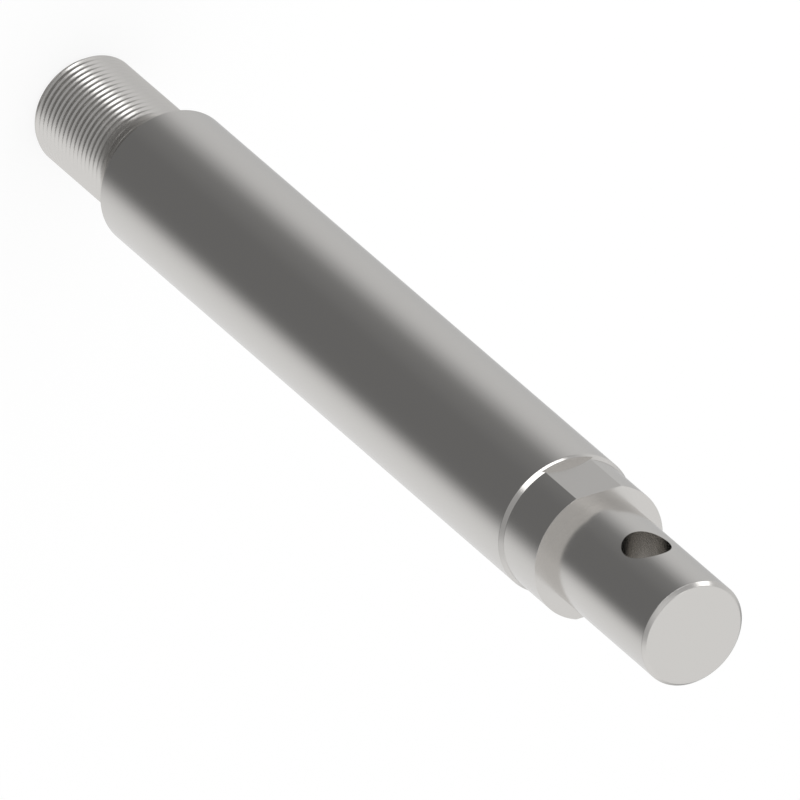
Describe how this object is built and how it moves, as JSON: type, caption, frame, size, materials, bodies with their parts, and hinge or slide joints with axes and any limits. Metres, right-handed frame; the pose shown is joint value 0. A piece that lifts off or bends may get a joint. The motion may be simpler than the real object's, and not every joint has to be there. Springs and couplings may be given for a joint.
{
  "type": "piston rod",
  "caption": "Turned steel hydraulic piston rod: threaded piston stub, ground rod, neck with wrench flats, and a pin journal with a cross hole.",
  "frame": {"origin": "centre of the threaded end's flat face, on which the rod stands", "axes": "+Z along the rod's axis towards the journal; +Y and -Y are the normals of the two wrench flats and the direction of the cross hole"},
  "size_m": [0.04, 0.04, 0.314],
  "materials": {
    "satin_steel": "ground and satin polished, metallic, roughness about 0.2"
  },
  "bodies": {
    "root": {"piston_rod": "satin_steel"}
  },
  "joints": []
}
